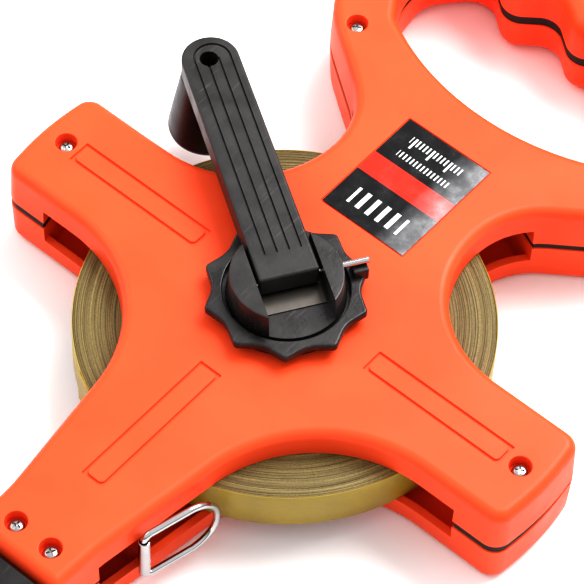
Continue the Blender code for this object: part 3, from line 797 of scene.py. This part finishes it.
def counterbore(spot, depth_z):
    """Screw well: a straight bore with a small rounded lip."""
    lip = COUNTERBORE_LIP
    return lathe("counterbore", [
        (0.0, THICKNESS + 1.0), (COUNTERBORE + lip, THICKNESS + 1.0),
        (COUNTERBORE + lip, THICKNESS), (COUNTERBORE + 0.13, THICKNESS - 0.13),
        (COUNTERBORE, THICKNESS - lip), (COUNTERBORE - 0.1, depth_z), (0.0, depth_z)],
        32, spot)


def panel_groove(bounds):
    """Cutter for a narrow channel round a rectangle of the front face."""
    x_low, x_high, y_low, y_high = bounds
    depth = THICKNESS - PANEL_LINE_DEPTH
    groove = loft("groove", rectangle(*bounds, 0.3), [(depth, 0.22), (THICKNESS + 1, -0.35)],
                  spacing=UNSPLIT)
    inner = rectangle(x_low + PANEL_LINE_WIDTH, x_high - PANEL_LINE_WIDTH, y_low + PANEL_LINE_WIDTH,
                      y_high - PANEL_LINE_WIDTH, 1.6)
    field = loft("field", inner, [(depth - 1, -0.1), (depth, -0.1), (THICKNESS + 2, 0.5)],
                 spacing=UNSPLIT)
    return combine(groove, field)


def window(low, high):
    """Cutter for the opening beside the mouth's channel, between two heights."""
    return box("window", (WINDOW_X[0], WINDOW_Y[0], low), (WINDOW_X[1], WINDOW_Y[1], high))


def shell(name, side):
    """One half of the frame: side is 1 for the front and -1 for the rear."""
    body = loft(name, mirrored(FRAME_HALF), wall_levels(side))
    combine(body, pocket(side))
    low, high = sorted((SEAM_Z - side * 2.0, SEAM_Z + side * CHAMBER_HALF))
    combine(body, cylinder("chamber", (0, 0), CHAMBER_RADIUS, low, high, 160))
    combine(body, loft("finger_hole", mirrored(HOLE_HALF), hole_levels(side)))
    combine(body, box("channel", (-CHANNEL_HALF, MOUTH_END - 5, low),
                      (CHANNEL_HALF, CHANNEL_START, high)))
    combine(body, window(low, high))
    if side > 0:
        seat = reach("case_screw_1", 2, 1) - SCREW_SEAT
        for spot in screw_spots():
            combine(body, counterbore(spot, seat))
        combine(body, cylinder("hub_bore", (0, 0), HUB_BORE, *HUB_BORE_Z, 64))
        x_low, x_high, y_low, y_high = LABEL
        recess = rectangle(x_low - LABEL_GAP, x_high + LABEL_GAP,
                           y_low - LABEL_GAP, y_high + LABEL_GAP, 0.7)
        combine(body, loft("label_recess", recess, [(LABEL_SEAT, 0.0), (LABEL_SEAT + 0.8, -0.2)],
                           spacing=UNSPLIT))
        for bounds in PANEL_FRAMES:
            combine(body, panel_groove(bounds))
    return smooth(body, 32.0)


def shells():
    orange = orange_look()
    dress(shell("front_shell_skin", 1), "frame", "orange_shell", orange, "front_shell")
    dress(shell("rear_shell_skin", -1), "frame", "orange_shell", orange, "rear_shell")


def seam_strip(name, region, node, openings=()):
    """The soft black strip between the shells within one region of the outline."""
    body = loft(name, mirrored(FRAME_HALF), [
        (seam_height(-1, -0.05), 0.6), (SEAM_Z, 0.3), (seam_height(1, -0.05), 0.6)])
    x_low, x_high, y_low, y_high = region
    low, high = SEAM_Z_RANGE
    combine(body, box("region", (x_low, y_low, low), (x_high, y_high, high)), "INTERSECT")
    combine(body, cylinder("chamber", (0, 0), CHAMBER_RADIUS + 0.4, low, high, 160))
    for tool in openings:
        combine(body, tool)
    return dress(smooth(body), "frame", "seam_rubber", RUBBER, node)


def seam_strips():
    low, high = SEAM_Z_RANGE
    seam_strip("left_seam", (-120, -60, -30, 30), "left_gasket")
    seam_strip("right_seam", (60, 120, -30, 30), "right_gasket")
    seam_strip("mouth_seam", (-30, 30, -140, -95), "mouth_gasket", (
        box("channel", (-CHANNEL_HALF, -140, low), (CHANNEL_HALF, -100, high)),
        window(low, high)))
    hole = loft("hole", mirrored(HOLE_HALF), [(low, -0.6), (high, -0.6)])
    seam_strip("handle_seam", (-120, 120, 60, 200), "handle_gasket", (hole,))


def case_screws():
    """Cross-head pan screws at the bottom of their wells."""
    plated = metal_look("bright_zinc", (0.40, 0.39, 0.385), 0.26)
    rng = random.Random(7)
    for i, spot in enumerate(screw_spots()):
        node = f"case_screw_{i + 1}"
        top = reach(node, 2, 1)
        head = lathe(node + "_head", [
            (0.0, top), (1.1, top - 0.03), (1.9, top - 0.2), (2.35, top - 0.5),
            (2.6, top - 0.95), (2.6, top - 1.8), (1.3, top - 1.8), (1.3, reach(node, 2, 0)),
            (0.0, reach(node, 2, 0))], 40, spot)
        turn = rng.uniform(0, math.pi / 2)
        for k in range(2):
            slot = box("slot", (-1.6, -0.33, -1.2), (1.6, 0.33, 0.5), turn + k * math.pi / 2)
            slot.location = Vector((spot[0], spot[1], top)) * MM
            combine(head, slot)
        dress(smooth(head), "frame", "plated_screw", plated, node)


def label():
    """Thin sticker that ripples a little."""
    x_low, x_high, y_low, y_high = LABEL
    body = bmesh.new()
    across, along = 36, 46
    top = reach("front_label", 2, 1)
    rows = []
    for j in range(along + 1):
        row = []
        for i in range(across + 1):
            x = x_low + (x_high - x_low) * i / across
            y = y_low + (y_high - y_low) * j / along
            ripple = 0.05 * noise.noise(Vector((x * 0.12, y * 0.12, 0.0)))
            row.append(body.verts.new((x, y, top - 0.08 + ripple)))
        rows.append(row)
    for low, high in zip(rows, rows[1:]):
        for i in range(across):
            body.faces.new((low[i], low[i + 1], high[i + 1], high[i]))
    sheet = place("sticker", body)
    thick = sheet.modifiers.new("thickness", "SOLIDIFY")
    thick.thickness = LABEL_THICKNESS * MM
    bake(sheet)
    dress(smooth(sheet, 40, False), "frame", "label_print", label_look(), "front_label")


def mouth_guard():
    """Black end piece of the lower arm, with the tape's slot through it."""
    low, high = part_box("mouth_guard")
    low, high = low / MM, high / MM
    body = loft("mouth_end_piece", rectangle(low.x, high.x, low.y, high.y, 3.0), [
        (low.z, 2.0), (low.z + 0.6, 0.9), (low.z + 2.0, 0.0), (high.z - 2.0, 0.0),
        (high.z - 0.6, 0.9), (high.z, 2.0)])
    combine(body, box("slot", (-CHANNEL_HALF, low.y - 2, CHANNEL_Z[0]),
                      (CHANNEL_HALF, high.y + 2, CHANNEL_Z[1])))
    for k in range(CUT_COUNT):
        y_low = low.y + CUT_START + CUT_PITCH * k
        for x_low in (low.x - 1, high.x - CUT_DEPTH):
            combine(body, box("flank_cut", (x_low, y_low, CUT_Z[0]),
                              (x_low + 1 + CUT_DEPTH, y_low + CUT_WIDTH, CUT_Z[1])))
    dress(smooth(body), "frame", "black_plastic", BLACK, "mouth_guard")


# ------------------------------------------------------------------------ tape

def tape_roll():
    """Wound tape: each bundle of turns stands a little higher or lower."""
    rng = random.Random(11)
    low, high = SEAM_Z - TAPE_HALF, SEAM_Z + TAPE_HALF
    steps = [ROLL_BORE]
    while steps[-1] < ROLL_RADIUS - 1.6:
        steps.append(steps[-1] + rng.uniform(0.5, 1.3))
    steps = [r for r in steps if r < ROLL_RADIUS - 0.9] + [ROLL_RADIUS - 0.45]

    def side_profile(height, sign):
        profile = []
        for inner, outer in zip(steps, steps[1:]):
            drop = rng.uniform(0.04, 0.20)
            profile += [(inner + 0.05, height - sign * (drop + 0.16)),
                        (inner + 0.14, height - sign * drop),
                        (outer - 0.08, height - sign * (drop + rng.uniform(-0.02, 0.03)))]
        return profile

    def waver(radius, angle, height):
        wave = noise.noise(Vector((radius * 0.35, math.cos(angle) * 1.3, math.sin(angle) * 1.3)))
        return -math.copysign(0.05 + 0.06 * wave, height - SEAM_Z)

    top = side_profile(high, 1.0)
    under = side_profile(low, -1.0)
    profile = under + list(reversed(top))
    roll = lathe("wound_tape", profile, 200, closed=True, lift=waver)
    dress(smooth(roll, 50, False), "spool", "tape_edge", winding_look(), "tape_roll")
    wrap = lathe("outer_wrap", [
        (ROLL_RADIUS - 0.32, high - 0.05), (ROLL_RADIUS - 0.08, high - 0.02),
        (ROLL_RADIUS, high - 0.12), (ROLL_RADIUS, low + 0.12),
        (ROLL_RADIUS - 0.08, low + 0.02), (ROLL_RADIUS - 0.32, low + 0.05)], 200, closed=True)
    dress(smooth(wrap, 50, False), "spool", "tape_face", TAPE_FACE)


# ----------------------------------------------------------------- hub and crank

def scalloped():
    """Outline of ten narrow cusps joined by shallow hollows."""
    corners = []
    for k in range(CUSP_COUNT):
        cusp = CUSP_ANGLE + math.tau * k / CUSP_COUNT
        hollow = cusp + math.pi / CUSP_COUNT
        corners.append((CUSP_RADIUS * math.cos(cusp), CUSP_RADIUS * math.sin(cusp), 1.8))
        corners.append((HOLLOW_RADIUS * math.cos(hollow), HOLLOW_RADIUS * math.sin(hollow), 9.5))
    return corners


def knob_disc():
    """Scalloped finger disc round the boss, with a lug under the pin's end."""
    rim = 0.9
    levels = [(DISC_LOW, 0.6), (DISC_LOW + 0.5, 0.0)]
    for k in range(5):
        angle = math.pi / 2 * k / 4
        levels.append((DISC_TOP - rim + rim * math.sin(angle), rim * (1 - math.cos(angle))))
    disc = loft("finger_disc", scalloped(), levels, spacing=1.2, chord=0.8)
    bore = lathe("disc_bore", [
        (0.0, 50.0), (DISC_BORE + 0.6, 50.0), (DISC_BORE + 0.6, DISC_TOP + 0.01),
        (DISC_BORE + 0.15, DISC_TOP - 0.2), (DISC_BORE, DISC_TOP - 0.65),
        (DISC_BORE, DISC_LOW - 1.0), (0.0, DISC_LOW - 1.0)], 96)
    combine(disc, bore)
    lug_top = PIN_Z - PIN_RADIUS - 0.3
    lug = box("lug", (-LUG_HALF, LUG_SPAN[0], DISC_LOW + 1.0),
              (LUG_HALF, LUG_SPAN[1], lug_top), CRANK_YAW)
    combine(disc, soften(lug, 0.6), "UNION")
    dress(smooth(disc), "spool", "hub_plastic", HUB_BLACK, "knob_disc")


def crank_boss():
    """Two cheeks on a round flange, with the arm's slot between them."""
    edge = 0.5
    boss = lathe("cheek_boss", [
        (0.0, CHEEK_TOP), (CHEEK_TOP_RADIUS - edge, CHEEK_TOP),
        (CHEEK_TOP_RADIUS - 0.15, CHEEK_TOP - 0.15), (CHEEK_TOP_RADIUS, CHEEK_TOP - edge),
        (CHEEK_RADIUS, SLOT_FLOOR + 0.6), (CHEEK_RADIUS, FLANGE_TOP + 0.4),
        (CHEEK_RADIUS + 0.4, FLANGE_TOP), (FLANGE_RADIUS - 0.2, FLANGE_TOP),
        (FLANGE_RADIUS, FLANGE_TOP - 0.2), (FLANGE_RADIUS, FLANGE_LOW),
        (STEM_RADIUS, FLANGE_LOW), (STEM_RADIUS, STEM_LOW), (0.0, STEM_LOW)], 120)
    low, high = SLOT_SIDE - SLOT_HALF, SLOT_SIDE + SLOT_HALF
    combine(boss, box("slot", (-30, low, SLOT_FLOOR), (30, high, 60), CRANK_YAW))
    combine(boss, box("spring_pocket", (-SPRING_POCKET_HALF, low + 0.6, SPRING_FLOOR),
                      (SPRING_POCKET_HALF, high - 0.6, POCKET_TOP), CRANK_YAW))
    combine(boss, cylinder("screw_pocket", (0, 0), SCREW_POCKET, 37.8, POCKET_TOP))
    combine(boss, cylinder("stem_bore", (0, 0), STEM_BORE, 20.0, 38.0, 6))
    combine(boss, pin_bore(-25, PIN_END + 0.3))
    dress(smooth(boss), "spool", "hub_plastic", HUB_BLACK, "crank_boss")


def pin_bore(y_from, y_to):
    """Cutter for the hinge pin's bore."""
    return cross_rod("pin_bore", PIN_X, PIN_Z, PIN_RADIUS + PIN_PLAY, y_from, y_to, edge=0.01)


def arm_groove(half, start, end, tip_centre):
    """Cutter for a U-shaped channel: two straight runs joined round the arm's tip."""
    width = LINE_HALF
    top = PIN_Z + ARM_HALF_DEPTH
    centre = LINE_SIDE

    def run(first, last, reach_out):
        corner = reach_out - 0.05
        return [(first, centre - reach_out, 0.2), (last, centre - reach_out, corner),
                (last, centre + reach_out, corner), (first, centre + reach_out, 0.2)]

    channel = loft("channel", run(start, end, half + width),
                   [(top - LINE_DEPTH, 0.25), (top + 1, -0.25)], CRANK_YAW, spacing=UNSPLIT)
    core = loft("core", run(start - 2, tip_centre + half - width, half - width),
                [(top - 1.5, -0.2), (top - LINE_DEPTH, -0.2), (top + 2, 0.35)],
                CRANK_YAW, spacing=UNSPLIT)
    return combine(channel, core)


def crank_arm():
    """Flat arm with four long grooves, a round tip and a hole for the grip's screw."""
    low, high = PIN_Z - ARM_HALF_DEPTH, PIN_Z + ARM_HALF_DEPTH
    corner = ARM_TIP_RADIUS - 0.1
    tip = GRIP_X + ARM_TIP_RADIUS
    outline = [(ARM_START, ARM_SIDE - ARM_HALF, 0.9), (tip, ARM_SIDE - ARM_TIP_RADIUS, corner),
               (tip, ARM_SIDE + ARM_TIP_RADIUS, corner), (ARM_START, ARM_SIDE + ARM_HALF, 0.9)]
    levels = [(low, 0.5), (low + 0.5, 0.0)]
    rim = 1.0
    for k in range(5):
        angle = math.pi / 2 * k / 4
        levels.append((high - rim + rim * math.sin(angle), rim * (1 - math.cos(angle))))
    arm = loft("folding_arm", outline, levels, CRANK_YAW, spacing=UNSPLIT)
    combine(arm, pin_bore(-20, 20))
    combine(arm, cylinder("tip_hole", grip_spot(), TIP_HOLE, 30, 60))
    for y_low, y_high in ARM_POCKETS:
        combine(arm, loft("pocket", rectangle(*ARM_POCKET_X, y_low, y_high, 2.0),
                          [(low - 2, 0.0), (high - ARM_POCKET_ROOF, 0.0)], CRANK_YAW))
    combine(arm, arm_groove(LINE_OUTER, LINE_START, GRIP_X + LINE_TIP, GRIP_X))
    for line in (LINE_SIDE - LINE_INNER, LINE_SIDE + LINE_INNER):
        run = rectangle(LINE_START, GRIP_X, line - LINE_HALF, line + LINE_HALF, 0.2)
        combine(arm, loft("run", run, [(high - LINE_DEPTH, 0.2), (high + 1, -0.25)], CRANK_YAW,
                          spacing=UNSPLIT))
    dress(smooth(arm), "crank", "hub_plastic", ARM_BLACK, "crank_arm")


def grip_spot():
    """Place of the grip's axis over the reel."""
    return GRIP_X * math.cos(CRANK_YAW), GRIP_X * math.sin(CRANK_YAW)


def grip():
    """Tapered grip with a soft shoulder and a rolled lower rim."""
    low, top = reach("crank_grip", 2, 0), reach("crank_grip", 2, 1)
    wide = (reach("crank_grip", 0, 1) - reach("crank_grip", 0, 0)) / 2
    body = lathe("turning_grip", [
        (GRIP_NARROW - 0.8, top), (GRIP_NARROW - 0.2, top - 0.2), (GRIP_NARROW, top - 0.8),
        (wide - 0.05, low + 2.2), (wide, low + 1.5), (wide - 0.25, low + 0.6),
        (wide - 0.8, low + 0.12), (wide - 1.6, low), (8.0, low), (7.5, low + 0.2),
        (GRIP_HOLLOW, low + 0.6), (GRIP_HOLLOW, GRIP_HOLLOW_TOP), (GRIP_BORE, GRIP_HOLLOW_TOP),
        (GRIP_BORE, top)], 96, grip_spot(), closed=True)
    dress(smooth(body), "grip", "grip_plastic", GRIP_BLACK, "crank_grip")


def small_metal():
    """Hinge pin and flat spring."""
    chrome = bpy.data.materials["chrome"]
    pin = cross_rod("hinge_pin_rod", PIN_X, PIN_Z, PIN_RADIUS, -PIN_STUB, -14.5)
    combine(pin, cross_rod("core", PIN_X, PIN_Z, PIN_CORE, -15.5, PIN_END), "UNION")
    dress(smooth(pin), "spool", "chromed_steel", chrome, "hinge_pin")
    low, high = reach("detent_spring", 2, 0), reach("detent_spring", 2, 1)
    body = bmesh.new()
    steps = 24
    half = SLOT_HALF - 0.9
    rows = []
    for k in range(steps + 1):
        x = -SPRING_HALF + 2 * SPRING_HALF * k / steps
        dip = SPRING_DIP * (1 - math.cos(math.pi * x / SPRING_HALF)) / 2
        rows.append([body.verts.new((x, SLOT_SIDE + y, high - 0.02 - dip))
                     for y in (-half, 0.0, half)])
    for first, second in zip(rows, rows[1:]):
        for i in range(2):
            body.faces.new((first[i], second[i], second[i + 1], first[i + 1]))
    strip = place("flat_spring", body, CRANK_YAW)
    thick = strip.modifiers.new("thickness", "SOLIDIFY")
    thick.thickness = (high - low - 0.14) * MM
    bake(strip)
    dress(smooth(strip), "spool", "spring_steel", SPRING, "detent_spring")


# ------------------------------------------------------------------------ ring

def ring_and_clip():
    """Pull ring of bent wire and the folded clip that holds it to the tape."""
    chrome = bpy.data.materials["chrome"]
    axis = [j for j in frame["joints"] if j["name"] == "ring_swing"][0]["pos_m"]
    base = Vector(axis) / MM
    points = [base + Vector((p.x * math.cos(RING_YAW), p.x * math.sin(RING_YAW), p.y))
              for p in rounded(RING_OUTLINE, 0.0, 1.0, math.radians(4), 0.5)]
    ring = wire_loop("pull_ring", points, RING_WIRE)
    dress(smooth(ring), "ring", "chromed_steel", chrome, "end_ring")
    low, high = reach("ring_clip", 2, 0), reach("ring_clip", 2, 1)
    clip = lathe("folded_clip", [
        (1.55, high), (1.85, high - 0.12), (1.95, high - 0.4), (1.95, low + 0.4),
        (1.85, low + 0.12), (1.55, low), (1.45, low + 0.3), (1.45, high - 0.3)], 48,
        (base.x, base.y), closed=True)
    dress(smooth(clip), "frame", "chromed_steel", chrome, "ring_clip")


def carried_nodes():
    """CAD nodes that stay as they are and get a better material."""
    steel = metal_look("turned_steel", (0.56, 0.56, 0.57), 0.28, 0.1, (1.0, 1.0, 0.1))
    nylon = nylon_look()
    for node, material in (("spindle", steel), ("spindle_screw", steel), ("grip_screw", steel),
                           ("spool_drum", BLACK), ("grip_post", GRIP_BLACK),
                           ("rear_bush", nylon), ("front_bush", nylon),
                           ("thrust_washer", nylon), ("tape_lead", TAPE_FACE)):
        made = frame["nodes"][node]
        made.data.materials.clear()
        made.data.materials.append(material)


# -------------------------------------------------------------- camera and light

def camera():
    """The picture's viewpoint, with its small roll."""
    back = Vector((math.sin(CAMERA_AZIMUTH) * math.cos(CAMERA_ELEVATION),
                   -math.cos(CAMERA_AZIMUTH) * math.cos(CAMERA_ELEVATION),
                   math.sin(CAMERA_ELEVATION)))
    right = (-back).cross(Vector((0, 0, 1))).normalized()
    up = right.cross(-back)
    turned_right = right * math.cos(CAMERA_ROLL) + up * math.sin(CAMERA_ROLL)
    turned_up = up * math.cos(CAMERA_ROLL) - right * math.sin(CAMERA_ROLL)
    data = bpy.data.cameras.new("camera")
    data.lens = CAMERA_LENS
    data.sensor_width = 36.0
    made = bpy.data.objects.new("camera", data)
    made.matrix_world = Matrix.Translation(CAMERA_PLACE) @ Matrix(
        (turned_right, turned_up, back)).transposed().to_4x4()
    bpy.context.scene.collection.objects.link(made)
    bpy.context.scene.camera = made


def area_light(name, spot, size, power):
    """A soft rectangular light that faces the reel's origin."""
    data = bpy.data.lights.new(name, "AREA")
    data.shape = "RECTANGLE"
    data.size, data.size_y = size
    data.energy = power
    made = bpy.data.objects.new(name, data)
    made.location = spot
    made.rotation_mode = "QUATERNION"
    made.rotation_quaternion = (-Vector(spot)).to_track_quat("-Z", "Y")
    bpy.context.scene.collection.objects.link(made)


def studio():
    """Pale floor, a world that brightens upwards and two large soft lights."""
    body = bmesh.new()
    bmesh.ops.create_grid(body, x_segments=4, y_segments=4, size=4000.0)
    bmesh.ops.translate(body, vec=(0.0, 0.0, -0.05), verts=body.verts)
    floor = place("floor", body)
    floor.data.materials.append(floor_look())
    world = bpy.data.worlds.new("studio")
    world.use_nodes = True
    sky = world.node_tree.nodes
    ways = sky.new("ShaderNodeTexCoord")
    axes = sky.new("ShaderNodeSeparateXYZ")
    shade = sky.new("ShaderNodeValToRGB")
    for element, (spot, level) in zip(shade.color_ramp.elements, ((0.05, 0.16), (0.55, 1.0))):
        element.position = spot
        element.color = (level, level, level, 1.0)
    join = world.node_tree.links.new
    join(ways.outputs["Generated"], axes.inputs["Vector"])
    join(axes.outputs["Z"], shade.inputs["Fac"])
    join(shade.outputs["Color"], sky["Background"].inputs["Color"])
    sky["Background"].inputs["Strength"].default_value = 0.85
    bpy.context.scene.world = world
    area_light("top_light", (0.15, 1.0, 1.35), (1.1, 0.9), 30.0)
    area_light("side_light", (-1.2, -0.3, 1.0), (1.0, 1.0), 6.0)
    bpy.context.scene.view_settings.view_transform = "Standard"
    bpy.context.scene.view_settings.look = "High Contrast"


camera()
studio()
metal_look("chrome", (0.52, 0.51, 0.51), 0.09, 0.06)
BLACK = black_look("black_moulding")
HUB_BLACK = black_look("hub_black", 0.021, 0.30, 1.0)
ARM_BLACK = black_look("arm_black", 0.021, 0.36, 0.8)
GRIP_BLACK = black_look("grip_black", 0.008, 0.36)
RUBBER = rubber_look()
TAPE_FACE = tape_face_look()
SPRING = metal_look("spring_steel", (0.135, 0.122, 0.11), 0.40, 0.06, (1.0, 0.3, 1.0))
shells()
seam_strips()
case_screws()
label()
mouth_guard()
tape_roll()
crank_boss()
knob_disc()
crank_arm()
grip()
small_metal()
ring_and_clip()
carried_nodes()
